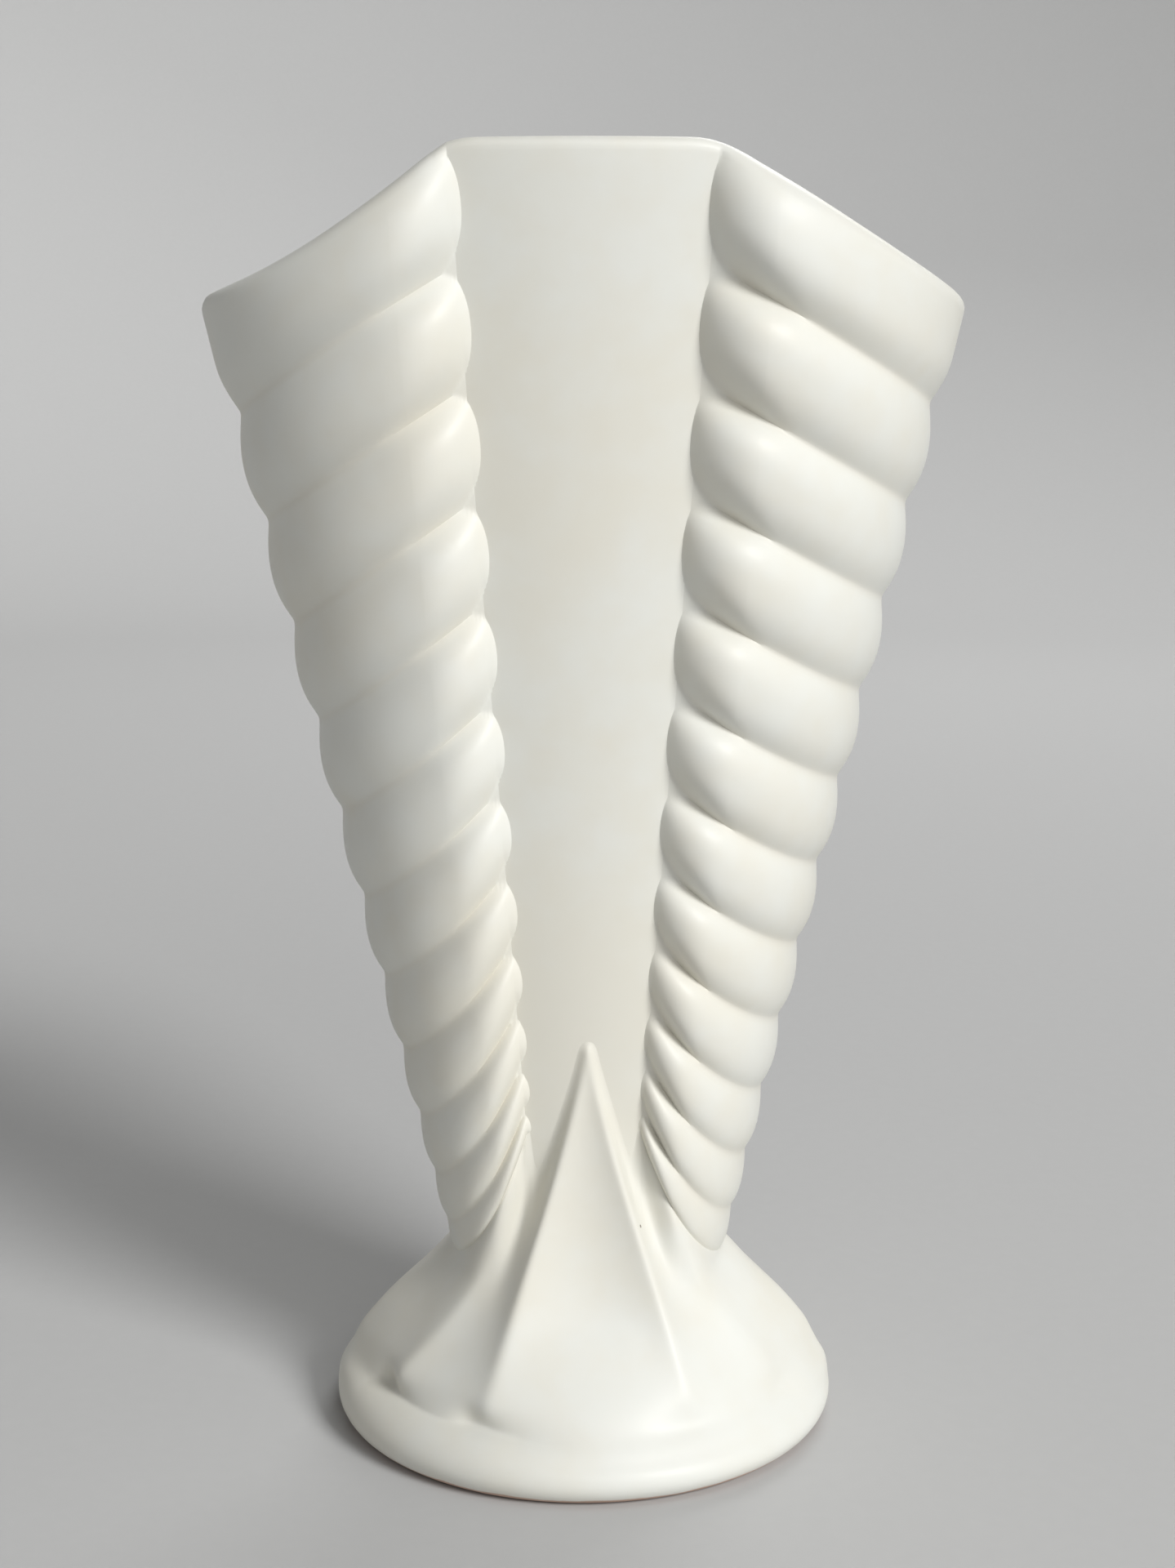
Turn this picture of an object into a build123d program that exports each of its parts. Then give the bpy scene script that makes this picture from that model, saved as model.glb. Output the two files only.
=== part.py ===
from build123d import *
import math
import os

# A fan vase: two plain panels, two ribbed wings, a floor, and a pleated pedestal foot.
# Origin at the middle of the underside. +Z is up, the front panel faces -Y, the wings point along X.
# Lengths are in millimetres.

# Body
HEIGHT = 200.0
MOUTH_WIDTH = 113.0
TIP_DROP = 22.0
WAIST_WIDTH = 45.0
WAIST_HEIGHT = 27.5
WING_START_HEIGHT = 51.0
PANEL_TOP_WIDTH = 38.2
PANEL_LOW_WIDTH = 17.6
BODY_TOP_DEPTH = 58.0
BODY_LOW_DEPTH = 35.0
PANEL_FOOT_HEIGHT = 42.0
WALL = 5.0

# Ribs: how strongly they crowd towards the foot, and how far they swell out of the wing
RIB_COUNT = 12
INNER_CROWDING = 1.45
RIGHT_CROWDING = 1.23
LEFT_CROWDING = 1.36
RIB_END_LENGTH = 5.5
RIB_END_RELIEF_SHARE = 0.17
RIB_TIP_RELIEF_SHARE = 0.11
RIM_RELIEF_SHARES = (0.3, 1.0)
FAN_ROUNDNESS = 1.7
TIP_ARC_SHARE = 0.88
END_ARC_SHARES = (0.3, 0.72)
TIP_WALL_SHARE = 1.3

# Floor, slip bed and spigot
FLOOR_RISE = 1.0
FLOOR_THICKNESS = 7.0
SLIP_THICKNESS = 0.8
SPIGOT_GAP = 0.3
SPIGOT_LENGTH = 30.0

# Pedestal foot
FOOT_DIAMETER = 81.0
EDGE_THICKNESS = 9.0
EDGE_CREST_SHARE = 0.45
STAND_RING_WIDTH = 3.4
SKIRT_DIAMETER = 70.5
SKIRT_HEIGHT = 13.0
SPIRE_HEIGHT = 67.0
SPIRE_TIP_WIDTH = 1.2
SPIRE_TIP_RELIEF = 0.9
SPIRE_RIDGE_ANGLE = 25.0
CORNER_RIDGE_ANGLE = 58.0
FLUTE_DEPTH = 1.6
FLUTE_SAG_SHARE = 0.1
WAIST_SWELL_SHARE = 0.12
FLUTE_FADE = 4.0
SKIRT_STEP_SHARES = (0.0, 0.2, 0.4, 0.55, 0.7, 0.82, 0.92, 1.0)
SPIRE_TAPER = 1.2
SPIRE_FLARE = 3.0
CORNER_FLARE = 1.9
SIDE_FLARE = 0.9
CORNER_INSET = 3.0
SKIRT_BED_DEPTH = 1.0
HOLLOW_TOP_DIAMETER = 13.0
HOLLOW_TOP_HEIGHT = 43.0
HOLLOW_WAIST_DIAMETER = 36.0
HOLLOW_WAIST_HEIGHT = 18.0


def between(height, low_height, low, high_height, high):
    """Size at a height, on a straight taper through two known places."""
    return low + (high - low) * (height - low_height) / (high_height - low_height)


def panel_half_width(height):
    """Half width of a panel at a height."""
    return between(height, WING_START_HEIGHT, PANEL_LOW_WIDTH / 2, HEIGHT, PANEL_TOP_WIDTH / 2)


def body_half_depth(height):
    """Distance of a panel's outer face from the middle at a height."""
    return between(height, WING_START_HEIGHT, BODY_LOW_DEPTH / 2, HEIGHT, BODY_TOP_DEPTH / 2)


def tip_half_width(height):
    """Distance of a wing's tip line from the middle at a height, in the valleys between ribs."""
    return between(height, WAIST_HEIGHT, WAIST_WIDTH / 2, HEIGHT - TIP_DROP, MOUTH_WIDTH / 2)


def rib_heights(level, crowding):
    """Heights of the panel end and the tip end of a line that lies level ribs below the rim."""
    left_over = 1 - level / RIB_COUNT
    inner = WING_START_HEIGHT + (HEIGHT - WING_START_HEIGHT) * left_over**INNER_CROWDING
    outer = WAIST_HEIGHT + (HEIGHT - TIP_DROP - WAIST_HEIGHT) * left_over**crowding
    return inner, outer


def wing_section(inner, outer, end_relief, tip_relief, inset, reach):
    """Fan-shaped outline of a wing, on the sloping plane from the panel edge down to the tip."""
    start_x = panel_half_width(inner)
    run = tip_half_width(outer) - start_x
    slant = math.hypot(run, outer - inner)
    length = slant - inset * TIP_WALL_SHARE + tip_relief
    depth = body_half_depth(inner) - inset

    def place(along, across):
        return (start_x + along * run / slant, across, inner + along * (outer - inner) / slant)

    def fan(along, relief):
        return (depth + relief) * (1 - (along / length) ** FAN_ROUNDNESS) ** (1 / FAN_ROUNDNESS)

    early, swell = END_ARC_SHARES
    nose = length * TIP_ARC_SHARE
    middle = (RIB_END_LENGTH + nose) / 2
    stations = [
        (0, depth),
        (RIB_END_LENGTH * early, fan(RIB_END_LENGTH * early, end_relief * swell)),
        (RIB_END_LENGTH, fan(RIB_END_LENGTH, end_relief)),
        (middle, fan(middle, end_relief)),
        (nose, fan(nose, end_relief)),
    ]
    front = [place(along, -across) for along, across in stations]
    back = [place(along, across) for along, across in stations]
    edges = [
        Edge.make_three_point_arc(front[0], front[1], front[2]),
        Edge.make_three_point_arc(front[2], front[3], front[4]),
        Edge.make_three_point_arc(front[4], place(length, 0), back[4]),
        Edge.make_three_point_arc(back[4], back[3], back[2]),
        Edge.make_three_point_arc(back[2], back[1], back[0]),
    ]
    if reach > 0:
        corners = [back[0], place(-reach, depth), place(-reach, -depth), front[0]]
        edges += [Edge.make_line(a, b) for a, b in zip(corners, corners[1:])]
    else:
        edges.append(Edge.make_line(back[0], front[0]))
    return Wire(edges)


def rib(index, crowding):
    """One rib: flush with the wing at its valleys, swollen half way. The rim cuts the top one off swollen."""
    top = rib_heights(index, crowding)
    crest = rib_heights(index + 1 / 2, crowding)
    low = rib_heights(index + 1, crowding)
    end_relief = (top[0] - low[0]) * RIB_END_RELIEF_SHARE
    tip_relief = (top[1] - low[1]) * RIB_TIP_RELIEF_SHARE
    at_rim = RIM_RELIEF_SHARES if index == 0 else (0, 0)
    sections = [
        wing_section(*top, end_relief * at_rim[0], tip_relief * at_rim[1], 0, 0),
        wing_section(*crest, end_relief, tip_relief, 0, 0),
        wing_section(*low, 0, 0, 0, 0),
    ]
    return Solid.make_loft(sections)


def wing_envelope(crowding):
    """The right wing before it is hollowed: all its ribs in one solid."""
    ribs = [rib(index, crowding) for index in range(RIB_COUNT)]
    return ribs[0].fuse(*ribs[1:])


def wing_cavity(inset):
    """Room inside the right wing, from above the rim to below the wing's lower edge."""
    drop = WAIST_HEIGHT / 2
    sections = [
        wing_section(HEIGHT + TIP_DROP, HEIGHT, 0, 0, inset, WALL),
        wing_section(WING_START_HEIGHT - drop, WAIST_HEIGHT - drop, 0, 0, inset, WALL),
    ]
    return Solid.make_loft(sections, True)


def tapered_block(low, high, edge_rows):
    """Block between two heights whose four corners follow the tapers of the body."""
    wires = []
    for height in (low, high):
        wide = panel_half_width(height)
        near, far = edge_rows(height)
        corners = [(-wide, near), (wide, near), (wide, far), (-wide, far)]
        wires.append(Wire.make_polygon([(x, y, height) for x, y in corners]))
    return Solid.make_loft(wires, True)


def front_panel():
    """Plain slab that leans forward and widens towards the rim."""

    def rows(height):
        return -body_half_depth(height), WALL - body_half_depth(height)

    return tapered_block(PANEL_FOOT_HEIGHT, HEIGHT, rows)


def core_block(low, high, inset):
    """Block between the outer faces of the two panels, less an inset."""

    def rows(height):
        return inset - body_half_depth(height), body_half_depth(height) - inset

    return tapered_block(low, high, rows)


def vessel_room(inset):
    """Everything inside the four walls, less a further inset where a fit needs it."""
    right = wing_cavity(inset)
    core = core_block(WAIST_HEIGHT / 2, HEIGHT + TIP_DROP, inset)
    return core.fuse(right, right.mirror(Plane.YZ))


def level_slice(solid, low, high):
    """The part of a solid that lies between two heights."""
    span = 2 * MOUTH_WIDTH
    slab = Solid.make_box(span, span, high - low, Plane((-span / 2, -span / 2, low)))
    return slab.intersect(solid).solid()


def ridge_places(share):
    """Ridges of one quarter of the skirt, from the skirt edge (share 0) up to the spire tip (share 1)."""
    height = SKIRT_HEIGHT + (SPIRE_HEIGHT - SKIRT_HEIGHT) * share
    radius = SKIRT_DIAMETER / 2
    down = 1 - share
    spire = math.radians(SPIRE_RIDGE_ANGLE)
    tip_x = SPIRE_TIP_WIDTH / 2
    tip_y = body_half_depth(SPIRE_HEIGHT) + SPIRE_TIP_RELIEF
    spire_x = tip_x + (radius * math.sin(spire) - tip_x) * down**SPIRE_TAPER
    spire_y = tip_y + (radius * math.cos(spire) - tip_y) * down**SPIRE_FLARE

    corner = math.radians(CORNER_RIDGE_ANGLE)
    low = max(0, (WING_START_HEIGHT - height) / (WING_START_HEIGHT - SKIRT_HEIGHT))
    inner_x = PANEL_LOW_WIDTH / 2 - CORNER_INSET * share
    inner_y = BODY_LOW_DEPTH / 2 - CORNER_INSET * share
    corner_x = inner_x + (radius * math.sin(corner) - inner_x) * low**CORNER_FLARE
    corner_y = inner_y + (radius * math.cos(corner) - inner_y) * low**CORNER_FLARE

    side_low = max(0, (WAIST_HEIGHT - height) / (WAIST_HEIGHT - SKIRT_HEIGHT))
    waist_x = WAIST_WIDTH / 2 - CORNER_INSET * share
    side_x = waist_x + (radius - waist_x) * side_low**SIDE_FLARE
    return height, (spire_x, -spire_y), (corner_x, -corner_y), (side_x, 0)


def flute_middle(start, end, sag_share, share):
    """Middle of a flute: on a ring inside the ridges low down, below or above their chord higher up."""
    chord = math.dist(start, end)
    middle = ((start[0] + end[0]) / 2, (start[1] + end[1]) / 2)
    reach = math.hypot(*middle)
    ring = (math.hypot(*start) + math.hypot(*end)) / 2 - FLUTE_DEPTH
    sunk = reach - chord * sag_share
    blend = (1 - share) ** FLUTE_FADE
    size = (ring * blend + sunk * (1 - blend)) / reach
    return middle[0] * size, middle[1] * size


def skirt_section(share, drop):
    """Outline of the pleated skirt, let down by a drop: ten ridges with hollow flutes between them."""
    height, spire, corner, side = ridge_places(share)
    front = [spire, corner, side]
    right = front + [(x, -y) for x, y in (corner, spire)]
    ring = right + [(-x, -y) for x, y in right]
    edges = []
    for start, end in zip(ring, ring[1:] + ring[:1]):
        beside_tip = 0 in (start[1], end[1])
        sag_share = -WAIST_SWELL_SHARE if beside_tip else FLUTE_SAG_SHARE
        middle = flute_middle(start, end, sag_share, share)
        points = [(x, y, height - drop) for x, y in (start, middle, end)]
        edges.append(Edge.make_three_point_arc(*points))
    return Wire(edges)


def skirt():
    """Pleated skirt with a spire at the front and at the back, let into the base."""
    sections = [skirt_section(0, SKIRT_HEIGHT - EDGE_THICKNESS + SKIRT_BED_DEPTH)]
    sections += [skirt_section(share, 0) for share in SKIRT_STEP_SHARES]
    return Solid.make_loft(sections)


def revolved(edges):
    """Solid turned from an outline in the XZ plane."""
    return Solid.revolve(Face(Wire(edges)), 360, Axis.Z)


def base_disc():
    """Round base with a rolled edge."""
    radius = FOOT_DIAMETER / 2
    crest = EDGE_THICKNESS * EDGE_CREST_SHARE
    flat = radius - crest
    shoulder = radius - (EDGE_THICKNESS - crest)
    arc = math.sqrt(1 / 2)
    low_mid = (flat + crest * arc, 0, crest - crest * arc)
    rise = EDGE_THICKNESS - crest
    high_mid = (shoulder + rise * arc, 0, crest + rise * arc)
    edges = [
        Edge.make_line((0, 0, 0), (flat, 0, 0)),
        Edge.make_three_point_arc((flat, 0, 0), low_mid, (radius, 0, crest)),
        Edge.make_three_point_arc((radius, 0, crest), high_mid, (shoulder, 0, EDGE_THICKNESS)),
        Edge.make_line((shoulder, 0, EDGE_THICKNESS), (0, 0, EDGE_THICKNESS)),
        Edge.make_line((0, 0, EDGE_THICKNESS), (0, 0, 0)),
    ]
    return revolved(edges)


def foot_hollow():
    """Open room under the foot."""
    rim = FOOT_DIAMETER / 2 - EDGE_THICKNESS * EDGE_CREST_SHARE - STAND_RING_WIDTH
    top = HOLLOW_TOP_DIAMETER / 2
    waist = HOLLOW_WAIST_DIAMETER / 2
    edges = [
        Edge.make_line((0, 0, 0), (rim, 0, 0)),
        Edge.make_three_point_arc((rim, 0, 0), (waist, 0, HOLLOW_WAIST_HEIGHT), (top, 0, HOLLOW_TOP_HEIGHT)),
        Edge.make_line((top, 0, HOLLOW_TOP_HEIGHT), (0, 0, HOLLOW_TOP_HEIGHT)),
        Edge.make_line((0, 0, HOLLOW_TOP_HEIGHT), (0, 0, 0)),
    ]
    return revolved(edges)


def main():
    right_envelope = wing_envelope(RIGHT_CROWDING)
    left_envelope = wing_envelope(LEFT_CROWDING).mirror(Plane.YZ)
    room = wing_cavity(WALL)
    right_wing = right_envelope.cut(room)
    left_wing = left_envelope.cut(room.mirror(Plane.YZ))

    front = front_panel()
    back = front.mirror(Plane.XZ)

    inside = vessel_room(WALL)
    floor_low = WING_START_HEIGHT + FLOOR_RISE
    spigot_top = floor_low - SLIP_THICKNESS
    floor = level_slice(inside, floor_low, floor_low + FLOOR_THICKNESS)
    slip = level_slice(inside, spigot_top, floor_low)
    spigot = level_slice(vessel_room(WALL + SPIGOT_GAP), spigot_top - SPIGOT_LENGTH, spigot_top)

    outer_foot = skirt().cut(right_envelope, left_envelope, core_block(PANEL_FOOT_HEIGHT, HEIGHT, 0))
    foot = outer_foot.fuse(base_disc(), spigot).cut(foot_hollow())

    pieces = {
        "front_panel": front,
        "back_panel": back,
        "left_wing": left_wing,
        "right_wing": right_wing,
        "vessel_floor": floor,
        "pedestal_foot": foot,
        "luting_bed": slip,
    }
    os.makedirs("parts", exist_ok=True)
    for name, piece in pieces.items():
        export_step(piece, f"parts/{name}.step")


main()
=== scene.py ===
"""Looks of a fan vase: two plain panels, two ribbed wings and a pleated foot under one ivory glaze."""

import logging
import math
from dataclasses import dataclass
from enum import Enum
from typing import Mapping, Sequence

import bmesh
import bpy
import numpy as np
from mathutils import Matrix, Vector


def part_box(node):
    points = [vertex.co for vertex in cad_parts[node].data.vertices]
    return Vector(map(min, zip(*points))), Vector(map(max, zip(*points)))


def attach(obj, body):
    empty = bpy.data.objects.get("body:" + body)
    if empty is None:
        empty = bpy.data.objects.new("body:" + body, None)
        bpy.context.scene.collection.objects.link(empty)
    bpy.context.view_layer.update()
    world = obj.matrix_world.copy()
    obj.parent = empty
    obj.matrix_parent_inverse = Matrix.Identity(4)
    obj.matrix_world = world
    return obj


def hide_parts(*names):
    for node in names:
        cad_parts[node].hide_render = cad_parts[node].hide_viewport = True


Colour = tuple[float, float, float, float]
Place = tuple[float, float, float]
Span = tuple[float, float]
Grid = np.ndarray
Pair = tuple[Grid, Grid]
Piece = bpy.types.Object
Finish = bpy.types.Material

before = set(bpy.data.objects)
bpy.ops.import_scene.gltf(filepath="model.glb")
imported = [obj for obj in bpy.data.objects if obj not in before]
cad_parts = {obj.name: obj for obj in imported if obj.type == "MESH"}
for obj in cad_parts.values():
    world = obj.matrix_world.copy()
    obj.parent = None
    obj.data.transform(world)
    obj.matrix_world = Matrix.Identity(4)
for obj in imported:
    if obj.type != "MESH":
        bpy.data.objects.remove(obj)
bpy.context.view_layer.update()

LOG = logging.getLogger("fan_vase")
MM = 0.001  # sizes below are in millimetres, meshes in metres
BODY = "root"
RECESS = "recess"


class Side(Enum):
    """The two wings, with the sign of their X."""

    LEFT = -1
    RIGHT = 1


class Face(Enum):
    """The two panels, with the sign of their Y."""

    FRONT = -1
    BACK = 1


def smooth_step(value: Grid, low: float, high: float) -> Grid:
    """Soft step from 0 at low to 1 at high.

    Args:
        value: Where the step is read.
        low: Start of the step.
        high: End of the step.

    Returns:
        The height of the step at each value.
    """
    share = np.clip((value - low) / (high - low), 0.0, 1.0)
    return share * share * (3.0 - 2.0 * share)


def smooth_max(first: Grid, second: Grid, blend: float) -> Grid:
    """Larger of two heights, with a fillet where they meet.

    Args:
        first: One set of heights.
        second: The other set of heights.
        blend: Difference in height below which the fillet starts.

    Returns:
        The blended heights.
    """
    near = np.maximum(blend - np.abs(first - second), 0.0) / blend
    return np.maximum(first, second) + near**2 * blend / 4.0


def soften(values: Grid, passes: int, axis: int = 0, wrap: bool = False) -> Grid:
    """Rounds a grid of heights off along one direction.

    Args:
        values: The heights.
        passes: How often each height is averaged with its neighbours.
        axis: Direction of the averaging.
        wrap: Whether the grid closes on itself in that direction.

    Returns:
        The rounded heights.
    """
    grid = np.moveaxis(values, axis, 0)
    for _ in range(passes):
        if wrap:
            before, after = np.roll(grid, 1, 0), np.roll(grid, -1, 0)
        else:
            before = np.concatenate([grid[:1], grid[:-1]])
            after = np.concatenate([grid[1:], grid[-1:]])
        grid = (before + 2.0 * grid + after) / 4.0
    return np.moveaxis(grid, 0, axis)


def ordered(turns: Grid, values: Grid) -> Pair:
    """Directions in rising order, each with its value."""
    order = np.argsort(turns)
    return turns[order], values[order]


class Shell:
    """A closed mesh made from rows of points, in millimetres."""

    def __init__(self, rows: Grid, recess: Grid) -> None:
        """Takes the rows and how deep in a crease each point lies.

        Args:
            rows: Points, by row and by column.
            recess: Share of 0 to 1 for each point.
        """
        self.row_count, self.column_count = rows.shape[:2]
        self.points = [rows.reshape(-1, 3)]
        self.recess = [recess.ravel()]
        self.faces: list[tuple[int, ...]] = []

    def at(self, row: int, column: int) -> int:
        """Number of the point in a row and column, both counted round."""
        return (row % self.row_count) * self.column_count + column % self.column_count

    def weave(self, rows: int, columns: int) -> None:
        """Adds the four-sided faces between neighbouring rows and columns.

        Args:
            rows: How many bands of faces there are.
            columns: How many faces each band has.
        """
        for row in range(rows):
            for column in range(columns):
                corners = [(row, column), (row, column + 1), (row + 1, column + 1), (row + 1, column)]
                self.faces.append(tuple(self.at(*corner) for corner in corners))

    def pole(self, point: Sequence[float], row: int) -> None:
        """Closes the ring of one row with a point.

        Args:
            point: Where the faces of the ring meet.
            row: The row that is closed.
        """
        top = sum(len(block) for block in self.points)
        self.points.append(np.array([point], float))
        self.recess.append(np.zeros(1))
        for column in range(self.column_count):
            self.faces.append((top, self.at(row, column), self.at(row, column + 1)))

    def make(self, name: str, crease_angle: float) -> Piece:
        """Turns the shell into an object of the scene.

        Args:
            name: Name of the piece.
            crease_angle: Angle in degrees above which an edge stays sharp.

        Returns:
            The new object.
        """
        mesh = bpy.data.meshes.new(name)
        mesh.from_pydata((np.concatenate(self.points) * MM).tolist(), [], self.faces)
        work = bmesh.new()
        work.from_mesh(mesh)
        bmesh.ops.recalc_face_normals(work, faces=work.faces)
        work.to_mesh(mesh)
        work.free()
        marks = mesh.attributes.new(RECESS, "FLOAT", "POINT")
        marks.data.foreach_set("value", np.concatenate(self.recess).astype(np.float32))
        mesh.polygons.foreach_set("use_smooth", [True] * len(mesh.polygons))
        mesh.set_sharp_from_angle(angle=math.radians(crease_angle))
        piece = bpy.data.objects.new(name, mesh)
        bpy.context.scene.collection.objects.link(piece)
        return piece


@dataclass(frozen=True)
class BodyForm:
    """Tapers that the panels, the wings and the foot share."""

    height: float
    panel_top_half: float
    top_half_depth: float
    panel_low_half: float = 8.8
    low_half_depth: float = 17.5
    wing_start: float = 51.0
    waist_height: float = 27.5
    mouth_half: float = 56.5
    tip_drop: float = 22.0
    wall: float = 5.0
    lip: float = 2.1
    lip_squareness: float = 2.6
    lip_steps: int = 12
    corner_round: float = 2.4
    rim_fade: float = 12.0
    crease_angle: float = 48.0
    panel_bow_share: float = 0.13

    @classmethod
    def from_frame(cls) -> "BodyForm":
        """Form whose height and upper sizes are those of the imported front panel."""
        low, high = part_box("front_panel")
        return cls(high.z / MM, high.x / MM, -low.y / MM)

    @property
    def tip_rise(self) -> float:
        """Height of the tips of the rim above the waist."""
        return self.height - self.tip_drop - self.waist_height

    def taper(self, height: Grid, low: float, high: float) -> Grid:
        """Size on a straight taper from where the wings start up to the rim."""
        return low + (high - low) * (height - self.wing_start) / (self.height - self.wing_start)

    def panel_half(self, height: Grid) -> Grid:
        """Half width of a panel at a height."""
        return self.taper(height, self.panel_low_half, self.panel_top_half)

    def half_depth(self, height: Grid) -> Grid:
        """Distance of a panel's outer face from the middle at a height."""
        return self.taper(height, self.low_half_depth, self.top_half_depth)

    def panel_depth(self, height: Grid, x: Grid) -> Grid:
        """Distance of a panel's bowed outer face from the middle.

        Args:
            height: Height on the panel.
            x: Distance from the middle of the panel.

        Returns:
            The distance, largest in the middle of the panel.
        """
        half = self.panel_half(height)
        bow = self.panel_bow_share * half * np.maximum(1.0 - (x / half) ** 2, 0.0)
        return self.half_depth(height) + bow

    def settle_rim(self, points: Grid, sag: float, lift: float) -> Grid:
        """Rounds the corners of the rim, lets the rim of a wing sag and lifts its tip.

        Args:
            points: Points of a piece, in place.
            sag: How far the middle of a wing's rim hangs below a straight line.
            lift: How far the tip of a wing's rim stands above that line.

        Returns:
            The same points with the ones near the rim let down.
        """
        beyond = np.abs(points[..., 0]) - self.panel_top_half
        run = self.mouth_half - self.panel_top_half
        line = beyond * self.tip_drop / run
        rim = self.height - np.maximum(line, 0.0)
        corner = np.maximum(self.corner_round - np.abs(line), 0.0) ** 2 / (4.0 * self.corner_round)
        share = np.clip(beyond / run, 0.0, 1.0)
        drop = corner + sag * 4.0 * share * (1.0 - share) - lift * share**4
        settled = points.copy()
        settled[..., 2] -= drop * smooth_step(points[..., 2], rim - self.rim_fade, rim)
        return settled

    def lip_rows(self, outer: Grid, rise: Grid, inner: Grid) -> Grid:
        """Half-round lip from the outer skin over to the inner skin.

        Args:
            outer: Top row of the outer skin.
            rise: How far and which way the lip stands above that row.
            inner: Top row of the inner skin.

        Returns:
            The rows of the lip, from the outside to the inside.
        """
        turns = np.linspace(0.0, math.pi, self.lip_steps + 2)[1:-1, None, None]
        power = 2.0 / self.lip_squareness
        inwards = (1.0 - np.sign(np.cos(turns)) * np.abs(np.cos(turns)) ** power) / 2.0
        return outer + (inner - outer) * inwards + rise * np.sin(turns) ** power


def walled_shell(outer: Grid, lip: Grid, inner: Grid, recess: Grid) -> Shell:
    """Closed wall with a lip: an outer skin, an inner skin and an end on each side.

    Args:
        outer: Rows of the outer skin, from the bottom up.
        lip: Rows of the lip.
        inner: Rows of the inner skin, from the top down, fewer by a whole step than the outer ones.
        recess: Depth in a crease, for each point of the outer skin.

    Returns:
        The wall.
    """
    rows = np.concatenate([outer, lip, inner])
    marks = np.zeros(rows.shape[:2])
    marks[: len(outer)] = recess
    shell = Shell(rows, marks)
    shell.weave(shell.row_count, shell.column_count - 1)
    top, first_inner = len(outer) - 1, len(outer) + len(lip)
    step = top // (len(inner) - 1)
    for column in (0, shell.column_count - 1):
        shell.faces.append(tuple(shell.at(row, column) for row in range(top, first_inner + 1)))
        for band in range(len(inner) - 1):
            high = top - band * step
            edge = [*range(high - step, high + 1), first_inner + band, first_inner + band + 1]
            shell.faces.append(tuple(shell.at(row, column) for row in edge))
    return shell


class Value:
    """A number in a shader. Each operator on it adds a Math node."""

    def __init__(self, graph: "Graph", socket: bpy.types.NodeSocket) -> None:
        """Wraps an output socket of a graph."""
        self.graph = graph
        self.socket = socket

    def math(self, operation: str, first: object, second: object) -> "Value":
        """Joins two numbers, sockets or plain, with a Math node."""
        return self.graph.node("ShaderNodeMath", {"operation": operation}, {0: first, 1: second})

    def __add__(self, other: object) -> "Value":
        """Sum with another number."""
        return self.math("ADD", self, other)

    def __radd__(self, other: object) -> "Value":
        """Sum with a number on the left."""
        return self.math("ADD", other, self)

    def __sub__(self, other: object) -> "Value":
        """Difference to another number."""
        return self.math("SUBTRACT", self, other)

    def __rsub__(self, other: object) -> "Value":
        """Difference from a number on the left."""
        return self.math("SUBTRACT", other, self)

    def __mul__(self, other: object) -> "Value":
        """Product with another number."""
        return self.math("MULTIPLY", self, other)

    def __rmul__(self, other: object) -> "Value":
        """Product with a number on the left."""
        return self.math("MULTIPLY", other, self)

    def __truediv__(self, other: object) -> "Value":
        """Quotient by another number."""
        return self.math("DIVIDE", self, other)

    def step(self, low: float, high: float) -> "Value":
        """Soft step of this number, 0 at low and 1 at high."""
        settings = {"interpolation_type": "SMOOTHSTEP", "clamp": True}
        return self.graph.node("ShaderNodeMapRange", settings, {0: self, 1: low, 2: high, 3: 0.0, 4: 1.0})


class Graph:
    """Node tree of one material."""

    def __init__(self, name: str) -> None:
        """Starts an empty material of that name."""
        self.material = bpy.data.materials.new(name)
        self.material.use_nodes = True
        self.tree = self.material.node_tree
        self.tree.nodes.clear()

    def node(self, kind: str, settings: Mapping[str, object], inputs: Mapping[int | str, object],
             output: int | str = 0) -> Value:
        """Adds one node.

        Args:
            kind: Type of the node.
            settings: Properties of the node, set first.
            inputs: Values or links for its sockets, by name or place.
            output: The socket that is handed on.

        Returns:
            That output.
        """
        node = self.tree.nodes.new(kind)
        for key, value in settings.items():
            setattr(node, key, value)
        for key, value in inputs.items():
            if isinstance(value, Value):
                self.tree.links.new(value.socket, node.inputs[key])
            else:
                node.inputs[key].default_value = value
        return Value(self, node.outputs[output]) if node.outputs else Value(self, None)

    def place(self) -> Value:
        """Coordinates on the piece, in metres."""
        return self.node("ShaderNodeTexCoord", {}, {}, "Object")

    def surface(self, inputs: Mapping[str, object]) -> Finish:
        """Ends the graph with a shader that has these inputs, and gives the finished material."""
        shader = self.node("ShaderNodeBsdfPrincipled", {}, inputs)
        self.node("ShaderNodeOutputMaterial", {}, {"Surface": shader})
        return self.material

    def mix(self, share: object, first: object, second: object) -> Value:
        """Colour between two colours."""
        return self.node("ShaderNodeMix", {"data_type": "RGBA"}, {0: share, 6: first, 7: second}, 2)

    def noise(self, place: Value, size: float, detail: float) -> Value:
        """Cloudy number around a half.

        Args:
            place: Coordinates in metres.
            size: Size of a cloud in millimetres.
            detail: How many finer layers it has.

        Returns:
            The cloud.
        """
        inputs = {"Vector": place, "Scale": 1.0 / (size * MM), "Detail": detail}
        return self.node("ShaderNodeTexNoise", {}, inputs, "Fac")


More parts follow.
